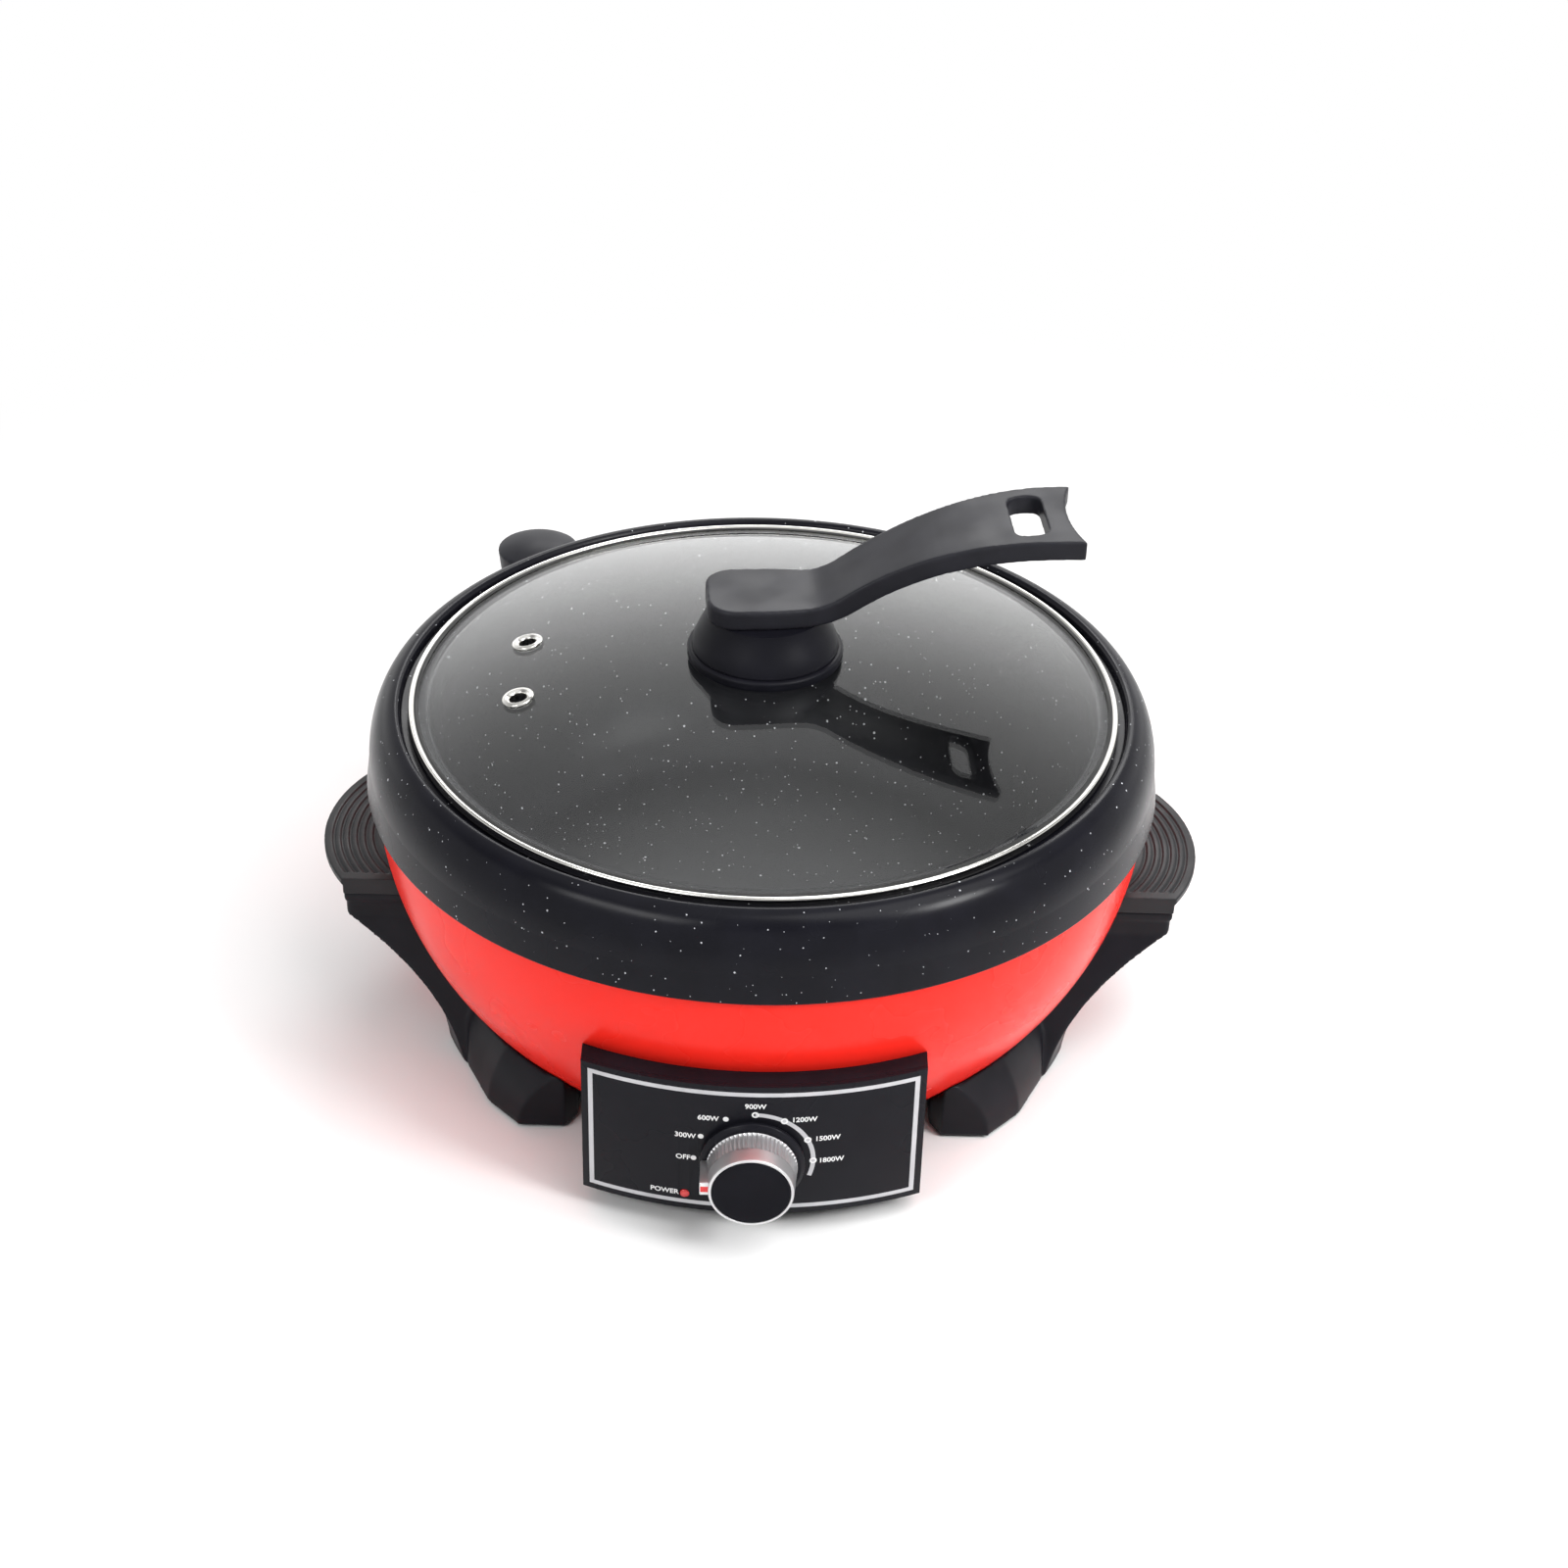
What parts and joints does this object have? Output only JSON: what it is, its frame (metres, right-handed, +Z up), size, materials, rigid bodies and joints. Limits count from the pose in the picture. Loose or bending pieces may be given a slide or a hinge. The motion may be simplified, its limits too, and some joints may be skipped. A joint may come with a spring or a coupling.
{
  "type": "electric multicooker",
  "caption": "Round electric multicooker: deep cast pot with a lift-off domed glass lid and curved lid handle, in a red bowl base on side brackets with grips, and a power knob in front.",
  "frame": {"origin": "on the table, under the middle of the whole part's width and depth", "axes": "+Z up, +X to the right of someone facing the control panel, the panel faces -Y"},
  "size_m": [0.3816, 0.358, 0.2343],
  "materials": {
    "clear_glass": "clear polished",
    "polished_steel": "polished",
    "handle_plastic": "fine satin grain",
    "stone_coating": "satin non-stick coating with pale specks",
    "red_enamel": "gloss enamel",
    "sheet_steel": "plain sheet",
    "cast_aluminium": "machined",
    "element_steel": "heat darkened",
    "ceramic": "glazed",
    "black_rubber": "matt",
    "bracket_plastic": "satin",
    "grip_plastic": "satin",
    "panel_plastic": "semi gloss",
    "pale_plastic": "satin",
    "red_lens": "clear red",
    "knob_metal": "satin metal finish"
  },
  "bodies": {
    "base": {"base_bowl": "red_enamel", "inner_liner": "sheet_steel", "heater_plate": "cast_aluminium", "heater_element": "element_steel", "heater_posts": "sheet_steel", "heater_screws": "polished_steel", "thermal_fuse": "ceramic", "sensor_cup": "sheet_steel", "sensor_spring": "polished_steel", "bottom_plate": "sheet_steel", "bottom_screws": "polished_steel", "terminal_block": "ceramic", "cord_gland": "black_rubber", "left_bracket": "bracket_plastic", "right_bracket": "bracket_plastic", "left_grip": "grip_plastic", "right_grip": "grip_plastic", "bracket_screws": "polished_steel", "grip_screws": "polished_steel", "rubber_feet": "black_rubber", "control_housing": "bracket_plastic", "housing_screws": "polished_steel", "fascia": "panel_plastic", "energy_regulator": "pale_plastic", "regulator_nut": "polished_steel", "indicator_lens": "red_lens", "indicator_lamp": "ceramic"},
    "pot": {"pot": "stone_coating", "pot_lug": "handle_plastic", "pot_lug_screw": "polished_steel"},
    "lid": {"lid_glass": "clear_glass", "lid_rim": "polished_steel", "vent_eyelets": "polished_steel", "lid_base_ring": "handle_plastic", "lid_boss": "handle_plastic", "lid_handle": "handle_plastic", "lid_washer": "polished_steel", "lid_screw": "polished_steel"},
    "knob": {"knob_body": "knob_metal", "knob_cap": "panel_plastic", "knob_skirt": "bracket_plastic", "knob_pointer": "pale_plastic", "regulator_shaft": "polished_steel"},
    "sensor": {"sensor_plunger": "cast_aluminium"}
  },
  "joints": [
    {"name": "pot_lift", "type": "slide", "parent": "base", "child": "pot", "axis": [0, 0, 1], "range_m": [0, 0.12]},
    {"name": "lid_lift", "type": "slide", "parent": "pot", "child": "lid", "axis": [0, 0, 1], "range_m": [0, 0.1]},
    {"name": "knob_turn", "type": "hinge", "parent": "base", "child": "knob", "pos_m": [0, -0.165, 0.0375], "axis": [0, 1, 0], "range_deg": [0, 180]},
    {"name": "sensor_press", "type": "slide", "parent": "base", "child": "sensor", "axis": [0, 0, 1], "range_m": [-0.003, 0], "stiffness_N_per_m": 600, "springref_m": 0.002, "deforming": ["sensor_spring"]}
  ]
}
